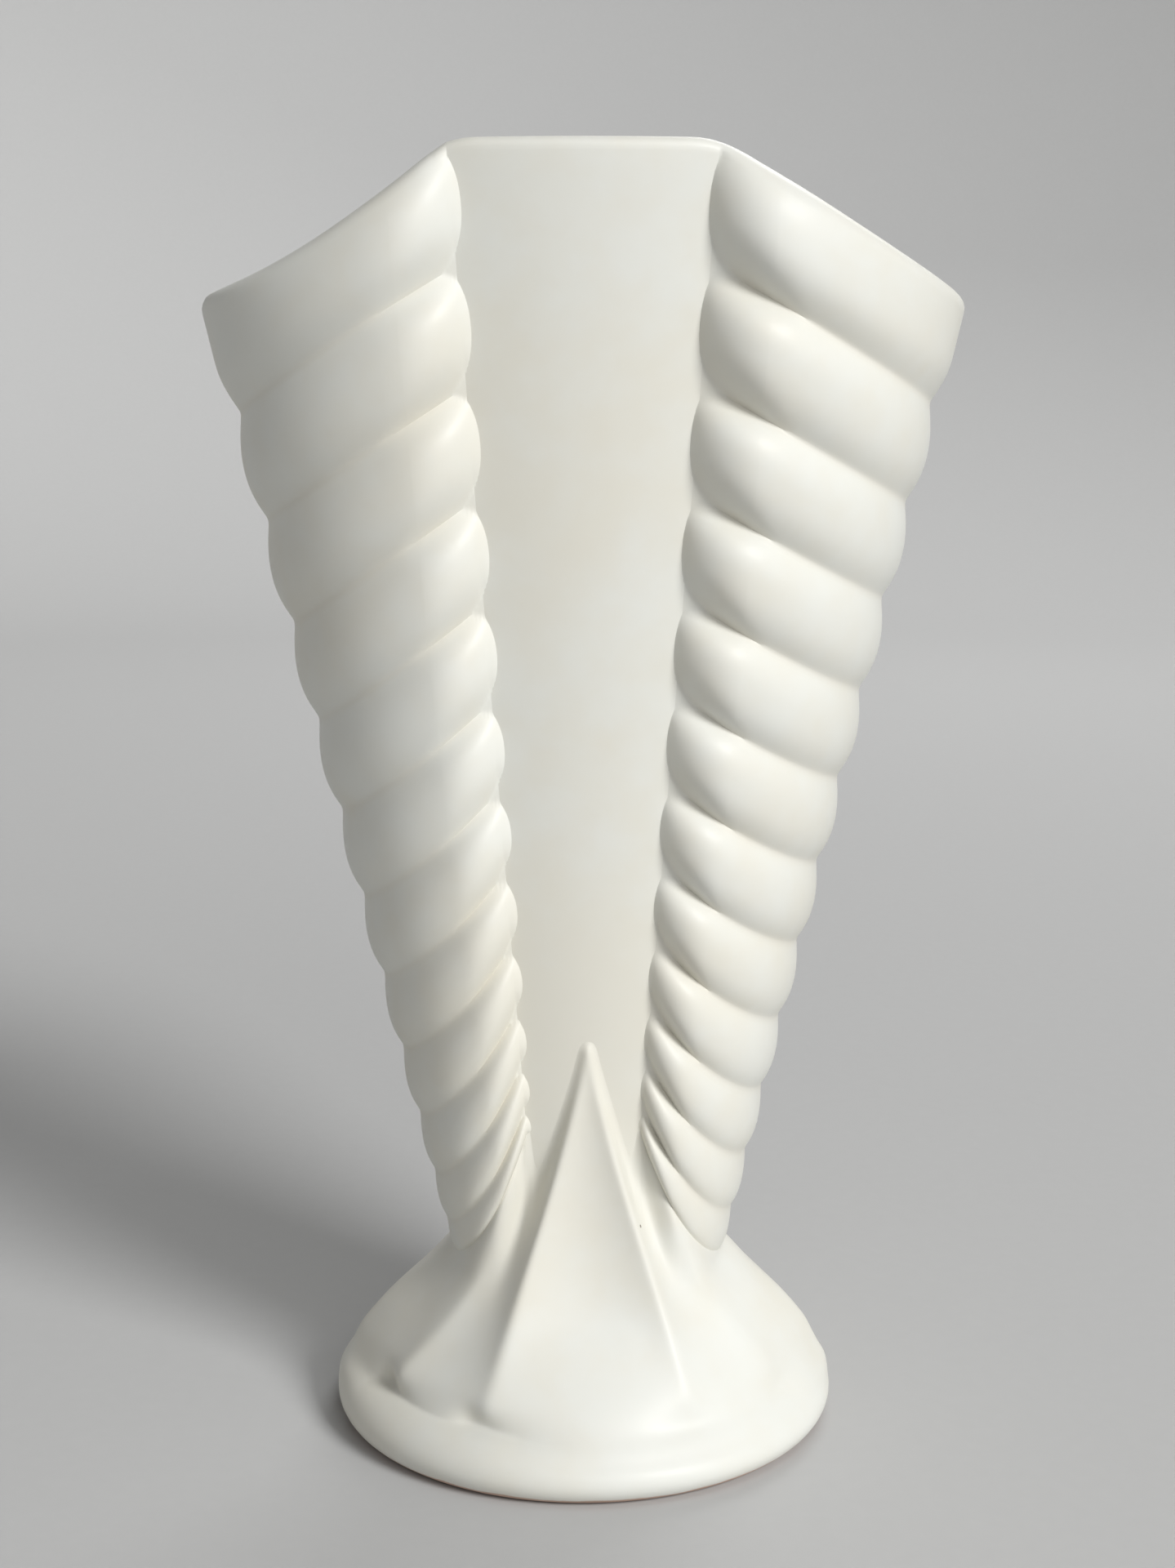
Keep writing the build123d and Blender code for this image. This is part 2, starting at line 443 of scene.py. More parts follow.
@dataclass(frozen=True)
class IvoryGlaze:
    """Satin ivory glaze over pale clay, bare where the vase stands."""

    name: str = "ivory_glaze_satin"
    warm: Colour = (0.725, 0.705, 0.625, 1.0)
    cool: Colour = (0.745, 0.748, 0.700, 1.0)
    # Darker brown for the rib valleys: glaze pooled in the creases plus painted shade where the valleys fall
    # dark
    pool_and_shade: Colour = (0.640, 0.575, 0.455, 1.0)
    speck: Colour = (0.120, 0.085, 0.060, 1.0)
    clay: Colour = (0.560, 0.400, 0.320, 1.0)
    cloud_size: float = 55.0
    mottle_size: float = 7.0
    speck_cell: float = 9.0
    speck_radius: float = 0.34
    bare_height: float = 1.3
    ripple_size: float = 5.0
    ripple_depth: float = 0.05
    ripple_strength: float = 0.35
    pool_and_shade_share: float = 0.10
    pool_and_shade_mottle: float = 0.15
    speck_share: float = 0.8
    bare_wander: float = 1.2
    bare_fade: float = 0.2
    roughness: float = 0.50
    bare_roughness: float = 0.4
    specular: float = 0.35
    coat: float = 0.07
    coat_roughness: float = 0.26
    ior: float = 1.5

    def specks(self, graph: Graph, place: Value) -> Value:
        """Sparse iron specks, about one in a dozen cells."""
        inputs = {"Vector": place, "Scale": 1.0 / (self.speck_cell * MM)}
        distance = graph.node("ShaderNodeTexVoronoi", {}, inputs, "Distance")
        cell = graph.node("ShaderNodeTexVoronoi", {}, inputs, "Color")
        chance = graph.node("ShaderNodeSeparateColor", {}, {0: cell}, 0)
        radius = self.speck_radius / self.speck_cell
        return (1.0 - distance.step(radius * 0.6, radius)) * chance.step(0.90, 0.91)

    def material(self) -> Finish:
        """Builds the material of the glaze.

        Returns:
            The material.
        """
        graph = Graph(self.name)
        place = graph.place()
        recess = graph.node("ShaderNodeAttribute", {"attribute_name": RECESS}, {}, "Fac")
        height = graph.node("ShaderNodeSeparateXYZ", {}, {0: place}, 2)
        cloud = graph.noise(place, self.cloud_size, 2.0)
        mottle = graph.noise(place, self.mottle_size, 3.0)
        ripple = graph.noise(place, self.ripple_size, 1.0)
        colour = graph.mix((cloud * 0.7 + mottle * 0.3).step(0.35, 0.65), self.warm, self.cool)
        # Darker brown mixed into the rib valleys beside the panels (recess attribute): pooled glaze plus
        # painted shade in the creases
        colour = graph.mix(recess * (self.pool_and_shade_share + mottle * self.pool_and_shade_mottle), colour, self.pool_and_shade)
        specks = self.specks(graph, place)
        colour = graph.mix(specks * self.speck_share, colour, self.speck)
        edge = height / MM + (mottle - 0.5) * self.bare_wander
        bare = 1.0 - edge.step(self.bare_height - self.bare_fade, self.bare_height + self.bare_fade)
        colour = graph.mix(bare, colour, self.clay)
        rough = self.roughness + (cloud - 0.5) * 0.12 + (mottle - 0.5) * 0.06 + bare * self.bare_roughness
        relief = {"Strength": self.ripple_strength, "Distance": self.ripple_depth * MM,
                  "Height": ripple + mottle * 0.4}
        return graph.surface({
            "Base Color": colour, "Roughness": rough, "IOR": self.ior, "Specular IOR Level": self.specular,
            "Normal": graph.node("ShaderNodeBump", {}, relief), "Coat Weight": self.coat - bare * self.coat,
            "Coat Roughness": self.coat_roughness, "Coat IOR": self.ior})


@dataclass(frozen=True)
class BareClay:
    """Dry slip that sticks the foot to the vessel."""

    name: str = "bare_clay_slip"
    pale: Colour = (0.68, 0.57, 0.47, 1.0)
    dark: Colour = (0.58, 0.46, 0.36, 1.0)
    grain_size: float = 1.2

    def material(self) -> Finish:
        """Builds the material of the slip.

        Returns:
            The material.
        """
        graph = Graph(self.name)
        grain = graph.noise(graph.place(), self.grain_size, 4.0)
        colour = graph.mix(grain.step(0.3, 0.7), self.dark, self.pale)
        bump = graph.node("ShaderNodeBump", {}, {"Strength": 0.5, "Distance": 0.1 * MM, "Height": grain})
        return graph.surface({"Base Color": colour, "Roughness": 0.75 + grain * 0.2, "Normal": bump})


@dataclass(frozen=True)
class StudioPaper:
    """Matt pale paper of the floor and the backdrop."""

    name: str = "studio_paper"
    light: Colour = (0.52, 0.52, 0.515, 1.0)
    dark: Colour = (0.50, 0.50, 0.495, 1.0)
    fibre_size: float = 3.0

    def material(self) -> Finish:
        """Builds the material of the paper.

        Returns:
            The material.
        """
        graph = Graph(self.name)
        fibre = graph.noise(graph.place(), self.fibre_size, 5.0)
        return graph.surface({"Base Color": graph.mix(fibre, self.dark, self.light), "Roughness": 0.9})


def place_piece(piece: Piece, material: Finish, node: str) -> None:
    """Dresses a piece and lets it stand for a node of the frame.

    Args:
        piece: The new piece.
        material: Its finish.
        node: The node that it stands for.
    """
    piece.data.materials.append(material)
    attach(piece, BODY)
    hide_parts(node)
    LOG.info("%s stands for %s with %d faces", piece.name, node, len(piece.data.polygons))


@dataclass(frozen=True)
class Panel:
    """Plain slab between the wings that leans outwards and widens towards the rim."""

    form: BodyForm
    face: Face
    foot_height: float = 42.0
    rows: int = 48
    columns: int = 64

    def skin(self, heights: Grid, inset: float) -> Grid:
        """Bowed skin of the panel.

        Args:
            heights: Height of each row.
            inset: Distance inwards from the outer face.

        Returns:
            Points by row and column.
        """
        shares = np.linspace(-1.0, 1.0, self.columns + 1)
        z = heights[:, None] * np.ones(len(shares))
        x = self.form.panel_half(z) * shares
        y = self.face.value * (self.form.panel_depth(z, x) - inset)
        return np.stack([x, y, z], -1)

    def build(self) -> Piece:
        """Makes the panel with its half-round lip.

        Returns:
            The panel.
        """
        form = self.form
        shoulder = form.height - form.lip
        heights = np.linspace(self.foot_height, shoulder, self.rows + 1)
        outer = self.skin(heights, 0.0)
        inner = self.skin(heights[::-1], form.wall)
        rise = self.skin(np.array([form.height]), 0.0)[0] - outer[-1]
        lip = form.lip_rows(outer[-1], rise, inner[0])
        points = [form.settle_rim(rows, 0.0, 0.0) for rows in (outer, lip, inner)]
        shell = walled_shell(*points, np.zeros(outer.shape[:2]))
        return shell.make(f"panel_{self.face.name.lower()}", form.crease_angle)

    def dress(self, material: Finish) -> None:
        """Builds the panel under the glaze, in place of its node."""
        place_piece(self.build(), material, f"{self.face.name.lower()}_panel")


@dataclass(frozen=True)
class Wing:
    """Hollow fan of twelve ribs that runs from one panel round the side to the other."""

    form: BodyForm
    side: Side
    panel_crowding: float
    tip_crowding: float
    waist_half: float
    scallop: float
    valley_round: float
    valley_share: float
    end_relief_share: float
    scallop_setback: float = 2.4
    rim_sag: float = 0.0
    tip_lift: float = 1.2
    rib_count: int = 12
    rib_fullness: float = 2.5
    tip_relief_share: float = 0.125
    rim_end_share: float = 0.3
    fan_roundness: float = 2.0
    end_length: float = 12.0
    end_roundness: float = 0.7
    swell: float = 4.2
    swell_length: float = 16.0
    valley_length: float = 16.0
    crease_depth: float = 0.6
    swell_roundness: float = 0.85
    swell_size: float = 45.0
    rim_swell_share: float = 0.6
    tip_valley_round: float = 0.35
    rim_tip_reach: float = 0.5
    low_bow: float = 3.0
    lap: float = 4.0
    lap_sink: float = 0.03
    near_length: float = 10.0
    tip_wall_share: float = 1.3
    row_spacing: float = 0.7
    near_columns: int = 36
    far_columns: int = 64
    inner_step: int = 4
    near_bunching: float = 1.4
    crease_fade: float = 3.0
    rim_levels: float = 0.8
    inner_lap_share: float = 0.4
    tucked_lip_share: float = 0.9

    def rib_heights(self, level: Grid) -> Pair:
        """Heights of a line across the wing, some ribs below the rim.

        Args:
            level: How many ribs below the rim the line lies.

        Returns:
            Its height at the panel and at the tip.
        """
        form = self.form
        left_over = 1.0 - level / self.rib_count
        inner = form.wing_start + (form.height - form.wing_start) * left_over**self.panel_crowding
        return inner, form.waist_height + form.tip_rise * left_over**self.tip_crowding

    def pitches(self, rib: Grid) -> Pair:
        """Height of a rib at the panel and at the tip."""
        top, low = self.rib_heights(rib), self.rib_heights(rib + 1.0)
        return top[0] - low[0], top[1] - low[1]

    def levels(self) -> Grid:
        """Levels of the rows, from the lower edge up to the lip, closer together in the valleys."""
        found = []
        for rib in range(self.rib_count):
            top, low = (self.rib_heights(np.array(float(level)))[0] for level in (rib, rib + 1))
            steps = self.inner_step * max(3, round(float(top - low) / self.row_spacing / self.inner_step))
            even = np.arange(steps) / steps
            found.append(rib + (even + (1.0 - np.cos(math.pi * even)) / 2.0) / 2.0)
        levels = np.append(np.concatenate(found), self.rib_count)
        pitch = self.form.height - self.rib_heights(np.array(1.0))[0]
        lip_level = self.form.lip / float(pitch)
        first_rib = levels < 1.0
        levels[first_rib] = lip_level + levels[first_rib] * (1.0 - lip_level)
        return levels[::-1]

    def stations(self, length: Grid) -> Pair:
        """Where the columns of each row lie.

        Args:
            length: Length of each row from the panel to the tip.

        Returns:
            Distance from the panel along the slope, and share of the depth, which is negative at the back.
        """
        count = len(length)
        power = self.fan_roundness
        lap = np.linspace(-self.lap, 0.0, self.near_columns // 3, endpoint=False)
        near = self.near_length * np.linspace(0.0, 1.0, self.near_columns) ** self.near_bunching
        front = np.tile(np.concatenate([lap, near]), (count, 1))
        depth = np.sqrt(1.0 - np.clip(front / length[:, None], 0.0, 1.0) ** power)
        start = np.arcsin((self.near_length / length) ** (power / 2.0))
        shares = np.linspace(0.0, 1.0, self.far_columns + 2)[1:-1]
        turn = start[:, None] + (math.pi - 2.0 * start)[:, None] * shares
        middle = length[:, None] * np.sin(turn) ** (2.0 / power)
        along = np.concatenate([front, middle, front[:, ::-1]], 1)
        across = np.concatenate([depth, np.cos(turn), -depth[:, ::-1]], 1)
        return along, across

    def relief(self, level: Grid, past_end: Grid, crest: Grid) -> Pair:
        """How far the ribs stand out of the valleys.

        Args:
            level: Level of each row.
            past_end: Distance from the line of the rib ends, by row and column.
            crest: What the top of a rib swells beyond the valleys beside the panel.

        Returns:
            The relief, and how deep in a crease each point lies.
        """
        rib, across = self.phase(level)
        pitch = self.pitches(rib)[0]
        across = across[:, None]
        upper_rim = (rib[:, None] == 0) & (across < 0.0)
        hump = 1.0 - np.where(upper_rim, 1.0 - self.rim_end_share, 1.0) * np.abs(across) ** self.rib_fullness
        size = np.minimum(1.0, pitch / self.form.rim_fade)[:, None]
        rise = np.clip(past_end / (self.end_length * np.sqrt(size)), 0.0, 1.0)
        full = self.end_relief_share * pitch[:, None] + self.valley_round
        raw = full * hump * (1.0 - (1.0 - rise) ** 2) ** self.end_roundness + crest * (1.0 - across**2)
        # The crease share marks the rib valleys that get the glaze's darker colour: pooled glaze plus painted
        # shade
        crease = np.exp(-((raw / self.crease_depth) ** 2)) * smooth_step(past_end, 0.0, self.crease_fade)
        return np.hypot(raw, self.valley_round) - self.valley_round, crease

    def phase(self, level: Grid) -> Pair:
        """The rib that each row belongs to, and its place across it from -1 at the top to 1 below."""
        rib = np.minimum(np.floor(level), self.rib_count - 1)
        return rib, 2.0 * (level - rib) - 1.0

    def past_end(self, level: Grid, along: Grid) -> Grid:
        """Distance from the scalloped line of the rib ends.

        Args:
            level: Level of each row.
            along: Distance from the panel, by row and column.

        Returns:
            The distance, larger than that from the panel on a rib and smaller in a valley.
        """
        rib, across = self.phase(level)
        pitch = self.pitches(rib)[0]
        size = np.sqrt(np.minimum(1.0, pitch / self.form.rim_fade))
        start = size * (self.scallop_setback * across**4 - self.scallop * (1.0 - across**2))
        return along - start[:, None]

    def swelling(self, level: Grid, past_end: Grid, length: Grid) -> Pair:
        """How far the wing rounds out beside the panels, sooner on the ribs than in the valleys.

        Args:
            level: Level of each row.
            past_end: Distance from the line of the rib ends, by row and column.
            length: Length of each row.

        Returns:
            The swelling of the valleys, and what the top of a rib swells beyond it.
        """
        size = (length / self.swell_size)[:, None]
        beyond = np.maximum(past_end, 0.0) / size
        rise = np.minimum(beyond / self.swell_length, 1.0)
        rim = self.rim_swell_share + (1.0 - self.rim_swell_share) * smooth_step(level, 0.0, self.rim_levels)
        full = self.swell * size * rim[:, None]
        fast = (1.0 - (1.0 - rise) ** 2) ** self.swell_roundness
        slow = smooth_step(beyond, 0.0, self.valley_length)
        slow = slow + (fast - slow) * self.valley_share
        return full * slow, full * np.maximum(fast - slow, 0.0)

    def skin(self, level: Grid, inset: float) -> Pair:
        """Ribbed outer skin, or the plain inner skin where there is an inset.

        Args:
            level: Level of each row.
            inset: Distance inwards from the outer skin without ribs.

        Returns:
            Points by row and column, and how deep in a crease each lies.
        """
        form = self.form
        inner, outer = self.rib_heights(level)
        start = form.panel_half(inner)
        widening = form.mouth_half - self.waist_half
        tip = self.waist_half + widening * (outer - form.waist_height) / form.tip_rise
        run, fall = tip - start, outer - inner
        slant = np.hypot(run, fall)
        length = slant - inset * self.tip_wall_share
        if inset == 0.0:
            rib, phase = self.phase(level)
            hump = np.where((rib == 0) & (phase < 0.0), 1.0, 1.0 - phase**2)
            bulge = hump * self.tip_relief_share * self.pitches(rib)[1]
            rim_reach = self.rim_tip_reach * np.clip(1.0 - level / self.rim_levels, 0.0, 1.0)
            length = length + np.hypot(bulge, self.tip_valley_round) - self.tip_valley_round + rim_reach
        along, across = self.stations(length)
        beside = np.maximum(along, 0.0)
        share = beside / length[:, None]
        past_end = self.past_end(level, along) if inset == 0.0 else along
        swelling, crest = self.swelling(level, past_end, length)
        ribs, crease = self.relief(level, past_end, crest) if inset == 0.0 else (0.0, np.zeros(along.shape))
        over_panel = smooth_step(-along, 0.0, 1.0)
        sink = (self.lap_sink if inset == 0.0 else -inset * self.inner_lap_share) * over_panel
        reach = form.half_depth(inner)[:, None] - inset - sink + swelling + ribs
        x = start[:, None] + np.minimum(along, 0.0) + beside * (run / slant)[:, None]
        bow = self.low_bow * (level / self.rib_count) ** 2
        z = inner[:, None] + beside * (fall / slant)[:, None] - bow[:, None] * 4.0 * share * (1.0 - share)
        return np.stack([self.side.value * x, -across * reach, z], -1), crease

    def lower_edge(self) -> Grid:
        """Points along the lower edge of the wing, from the front panel to the back panel."""
        return self.skin(np.array([float(self.rib_count)]), 0.0)[0][0]

    def build(self) -> Piece:
        """Makes the wing with its half-round lip.

        Returns:
            The wing.
        """
        form = self.form
        levels = self.levels()
        outer, crease = self.skin(levels, 0.0)
        inner = self.skin(levels[:: -self.inner_step], form.wall)[0]
        rise = self.skin(np.array([0.0]), 0.0)[0][0] - outer[-1]
        under_panel = np.abs(outer[-1, :, 0]) < form.panel_half(outer[-1, :, 2])
        rise[under_panel] *= self.tucked_lip_share
        lip = form.lip_rows(outer[-1], rise, inner[0])
        points = [form.settle_rim(rows, self.rim_sag, self.tip_lift) for rows in (outer, lip, inner)]
        shell = walled_shell(*points, crease)
        return shell.make(f"wing_{self.side.name.lower()}", form.crease_angle)

    def dress(self, material: Finish) -> None:
        """Builds the wing under the glaze, in place of its node."""
        place_piece(self.build(), material, f"{self.side.name.lower()}_wing")


@dataclass(frozen=True)
class Foot:
    """Round foot: a rolled edge, a pleated skirt and a spire on each panel."""

    form: BodyForm
    radius: float
    wing_edges: tuple[Grid, ...]
    turned: float = 1.8
    edge: float = 9.0
    edge_crest: float = 4.05
    ring_width: float = 3.4
    skirt_radius: float = 35.25
    skirt_height: float = 13.0
    spire_height: float = 65.9
    spire_tip_half: float = 0.3
    spire_tip_relief: float = 0.9
    spire_angle: float = 26.9
    corner_angle: float = 58.0
    waist_half: float = 22.5
    flute_depth: float = 1.6
    flute_sag_share: float = 0.1
    waist_swell_share: float = 0.12
    flute_fade: float = 4.0
    spire_taper: float = 1.2
    spire_flare: float = 3.0
    corner_flare: float = 1.9
    side_flare: float = 0.9
    corner_inset: float = 3.0
    front_flare: float = 0.66
    left_flare: float = 0.48
    right_flare: float = 0.60
    front_spread: Span = (20.0, 31.0)
    side_heights: tuple[float, ...] = (9.0, 12.4, 18.1, 22.9, 27.5)
    side_swell: tuple[float, ...] = (3.9, 2.1, 1.8, 0.3, 0.0)
    side_spread: Span = (58.0, 90.0)
    side_run: float = 0.55
    toe_inset: float = 0.6
    toe_height: float = 2.5
    pit_angles: tuple[float, ...] = (-63.0, -30.0)
    pit_depths: tuple[float, ...] = (1.7, 0.9)
    pit_width: float = 4.5
    pit_height: float = 2.2
    seat_reach: float = 8.0
    seat_spread: Span = (21.0, 27.0)
    panel_blend: float = 1.3
    panel_sink: float = 0.06
    spire_spread: Span = (12.0, 24.0)
    cap_height: float = 50.0
    corner_rise: float = 2.6
    corner_spread: Span = (34.0, 46.0)
    tip_fade: float = 1.6
    hollow_top: Span = (6.5, 43.0)
    hollow_waist: Span = (18.0, 18.0)
    columns: int = 560
    row_step: float = 0.4
    low_rise: float = 8.0
    low_rows: int = 21
    high_rows: int = 70
    roll_rows: int = 10
    ledge_rows: int = 3
    hollow_rows: int = 18
    chord_steps: int = 24
    cap_inset: float = 2.2
    cap_drop: float = 0.4
    least_facing: float = 0.2
    panel_fade: Span = (0.2, 2.2)
    seat_passes: int = 2
    blend_rows: tuple[int, int] = (11, 50)
    blend_passes: int = 6
    ridge_passes: int = 9
    groove_passes: int = 9
    flow_passes: int = 60
    flow_angles: tuple[float, ...] = (-24.0, 4.0, 74.0, 98.0)
    flow_share: float = 0.9

    def angles(self) -> Grid:
        """Directions of the columns, from the front round to the right."""
        return np.linspace(-math.pi, math.pi, self.columns, endpoint=False)

    def aside(self) -> Grid:
        """Degrees that each column lies aside of the front or of the back."""
        turn = np.degrees(np.abs(self.angles()))
        return np.minimum(turn, 180.0 - turn)

    def ridges(self, height: float) -> list[tuple[float, float]]:
        """Ridges of one quarter of the skirt.

        Args:
            height: Height of the section.

        Returns:
            The spire ridge, the corner ridge and the side ridge, as X and distance to the front.
        """
        form, radius = self.form, self.skirt_radius
        share = (height - self.skirt_height) / (self.spire_height - self.skirt_height)
        share = min(max(share, 0.0), 1.0)
        level = max(height, self.skirt_height)
        spire, corner = math.radians(self.spire_angle), math.radians(self.corner_angle)
        tip_y = float(form.panel_depth(self.spire_height, 0.0)) + self.spire_tip_relief
        spire_x = self.spire_tip_half
        spire_x += (radius * math.sin(spire) - spire_x) * (1.0 - share) ** self.spire_taper
        spire_y = tip_y + (radius * math.cos(spire) - tip_y) * (1.0 - share) ** self.spire_flare
        past_tip = max(0.0, height - self.spire_height + self.tip_fade / 3.0) / self.tip_fade
        spire_y -= 2.0 * self.spire_tip_relief * past_tip**2
        low = max(0.0, (form.wing_start - level) / (form.wing_start - self.skirt_height)) ** self.corner_flare
        inset = self.corner_inset * share
        corner_x, corner_y = form.panel_low_half - inset, form.low_half_depth - inset
        corner_x += (radius * math.sin(corner) - corner_x) * low
        corner_y += (radius * math.cos(corner) - corner_y) * low
        low = max(0.0, (form.waist_height - level) / (form.waist_height - self.skirt_height))
        side_x = self.waist_half - inset
        side_x += (radius - side_x) * low**self.side_flare
        return [(spire_x, spire_y), (corner_x, corner_y), (side_x, 0.0)]

    def section(self, height: float) -> Grid:
        """Distance of the pleated skirt from the axis in the direction of each column.

        Args:
            height: Height of the section.

        Returns:
            The distances.
        """
        share = max(0.0, (height - self.skirt_height) / (self.spire_height - self.skirt_height))
        blend = (1.0 - min(share, 1.0)) ** self.flute_fade
        front = self.ridges(height)
        right = front + [(x, -y) for x, y in front[1::-1]]
        ring = np.array(right + [(-x, -y) for x, y in right])
        following = np.roll(ring, -1, 0)
        chord = np.hypot(*(following - ring).T)
        middle = (ring + following) / 2.0
        reach = np.hypot(*middle.T)
        beside_tip = (ring[:, 1] == 0.0) | (following[:, 1] == 0.0)
        sag = np.where(beside_tip, -self.waist_swell_share, self.flute_sag_share)
        pleat = (np.hypot(*ring.T) + np.hypot(*following.T)) / 2.0 - self.flute_depth
        size = (pleat * blend + (reach - chord * sag) * (1.0 - blend)) / reach
        middle = middle * size[:, None]
        step = np.linspace(0.0, 1.0, self.chord_steps, endpoint=False)[None, :, None]
        curve = ring[:, None] * (1.0 - step) * (1.0 - 2.0 * step)
        curve = curve + middle[:, None] * 4.0 * step * (1.0 - step)
        curve = curve + following[:, None] * step * (2.0 * step - 1.0)
        points = curve.reshape(-1, 2)
        turn = np.arctan2(points[:, 0], points[:, 1]) + math.radians(self.turned)
        return np.interp(self.angles(), turn, np.hypot(*points.T), period=2.0 * math.pi)

    def skirt_field(self, heights: Grid) -> Grid:
        """Distance of the skirt from the axis, softened and run out onto the panels.

        Args:
            heights: Heights of the sections.

        Returns:
            Distances by height and column.
        """
        angles = self.angles()
        field = np.stack([self.section(float(height)) for height in heights])
        field = soften(field, self.ridge_passes, 1, True)
        ridge_share = np.clip((field[0] - self.skirt_radius + self.flute_depth) / self.flute_depth, 0.0, 1.0)
        below = np.maximum(self.skirt_height - heights, 0.0)[:, None]
        toe = (1.0 - smooth_step(heights, self.edge, self.edge + self.toe_height))[:, None]
        aside = self.aside()
        flute_flare = np.where(angles > 0.0, self.right_flare, self.left_flare)
        flare = self.front_flare + (flute_flare - self.front_flare) * smooth_step(aside, *self.front_spread)
        side = smooth_step(aside, *self.side_spread)
        drawn = flare * below * (1.0 - ridge_share) - self.toe_inset * toe * ridge_share
        field = field + drawn * (1.0 - side)
        field = field + np.interp(heights, self.side_heights, self.side_swell)[:, None] * side
        above_edge = ((heights - self.edge) / self.pit_height)[:, None]
        for angle, depth in zip(self.pit_angles, self.pit_depths):
            beside = (np.degrees(angles) - angle) / self.pit_width
            field = field - depth * np.exp(-(beside**2) - above_edge**2)
        field = soften(self.seated(field, heights), self.seat_passes)
        facing = np.maximum(np.abs(np.cos(angles)), self.least_facing)
        level = heights[:, None]
        flat = (self.form.half_depth(level) - self.panel_sink) / facing
        panel = (self.form.panel_depth(level, flat * np.sin(angles)) - self.panel_sink) / facing
        x = panel * np.abs(np.sin(angles))
        on_panel = 1.0 - smooth_step(x - self.form.panel_half(heights)[:, None], *self.panel_fade)
        return field + (smooth_max(field, panel, self.panel_blend) - field) * on_panel

    def seated(self, field: Grid, heights: Grid) -> Grid:
        """Draws the skirt out to the lower edges of the wings, so that they stand on it.

        Args:
            field: Distances of the skirt by height and column.
            heights: Heights of the sections.

        Returns:
            The distances with the skirt seated under the wings.
        """
        edge = np.concatenate(self.wing_edges)
        turn = np.arctan2(edge[:, 0], -edge[:, 1])
        far, high = np.hypot(edge[:, 0], edge[:, 1]), edge[:, 2]
        reach, level = (
            np.interp(self.angles(), *ordered(turn, values), period=2.0 * math.pi) for values in (far, high)
        )
        at_edge = np.stack([np.interp(up, heights, column) for up, column in zip(level, field.T)])
        below = np.maximum(level - heights[:, None], 0.0) / self.seat_reach
        beside_panel = smooth_step(self.aside(), *self.seat_spread)
        return field + (reach - at_edge) * beside_panel * np.exp(-(below**2))

    def tops(self) -> Grid:
        """Height at which each column ends: the spire tip, behind the panel's corner or inside the body."""
        aside, high = self.aside(), self.spire_height + self.tip_fade
        spire = high - (high - self.cap_height) * smooth_step(aside, *self.spire_spread)
        corner = self.cap_height + self.corner_rise * (1.0 - smooth_step(aside, *self.corner_spread))
        return np.maximum(spire, corner)

    def build(self) -> Piece:
        """Makes the foot, hollow underneath.

        Returns:
            The foot.
        """
        angles = self.angles()
        lowest = self.edge
        heights = np.arange(lowest, self.spire_height + self.tip_fade + self.row_step, self.row_step)
        field = self.skirt_field(heights)
        low_rows = np.linspace(lowest, lowest + self.low_rise, self.low_rows)[:, None] * np.ones(self.columns)
        shares = np.linspace(0.0, 1.0, self.high_rows + 1)[1:, None]
        high_rows = low_rows[-1] + (self.tops() - low_rows[-1]) * shares
        z = np.concatenate([low_rows, high_rows])
        r = np.stack([np.interp(up, heights, column) for up, column in zip(z.T, field.T)], 1)

        flat = self.radius - self.edge_crest
        crown = self.edge - self.edge_crest
        wide = np.ones(self.columns)
        turns = np.linspace(0.0, math.pi / 2.0, self.roll_rows)[:, None]
        brow = np.maximum(self.radius - crown, r[0])
        over = turns[1:] * (1.0 - self.side_run * smooth_step(self.aside(), *self.side_spread))
        crown_r = brow + (self.radius - brow) * np.cos(over)
        crown_z = self.edge_crest + crown * np.sin(over)
        ledge = np.linspace(0.0, 1.0, self.ledge_rows + 2)[1:-1, None]
        r = np.concatenate([(flat + self.edge_crest * np.sin(turns)) * wide, crown_r,
                            crown_r[-1] + (r[0] - crown_r[-1]) * ledge, r])
        z = np.concatenate([self.edge_crest * (1.0 - np.cos(turns)) * wide, crown_z,
                            crown_z[-1] + (self.edge - crown_z[-1]) * ledge, z])
        r, z = self.run_out(r), self.run_out(z)

        hollow_r, hollow_z = self.hollow(flat - self.ring_width)
        cap_r = np.stack([r[-1] - self.cap_inset, r[-1] - self.cap_inset])
        cap_z = np.stack([z[-1] - self.cap_drop, np.minimum(z[-1] - self.cap_drop, self.cap_height)])
        r = np.concatenate([hollow_r[:, None] * wide, r, cap_r])
        z = np.concatenate([hollow_z[:, None] * wide, z, cap_z])
        rows = np.stack([r * np.sin(angles), -r * np.cos(angles), z], -1)
        shell = Shell(rows, np.zeros(r.shape))
        shell.weave(shell.row_count - 1, self.columns)
        shell.pole((0.0, 0.0, self.hollow_top[1]), 0)
        shell.pole((0.0, 0.0, self.cap_height), shell.row_count - 1)
        return shell.make("foot_pleated", self.form.crease_angle)

    def run_out(self, values: Grid) -> Grid:
        """Softens the toe of the skirt, most at the front right, where it flows into the rolled edge.

        Args:
            values: Radii or heights of the rows, from the standing ring up.

        Returns:
            The softened values.
        """
        turn, (start, full, ebb, end) = np.degrees(self.angles()), self.flow_angles
        flow = self.flow_share * smooth_step(turn, start, full) * (1.0 - smooth_step(turn, ebb, end))
        groove, wide = (soften(values, passes) for passes in (self.groove_passes, self.flow_passes))
        near = np.zeros(len(values))
        near[slice(*self.blend_rows)] = 1.0
        near = soften(near, self.blend_passes)[:, None]
        return values + ((1.0 - flow) * groove + flow * wide - values) * near

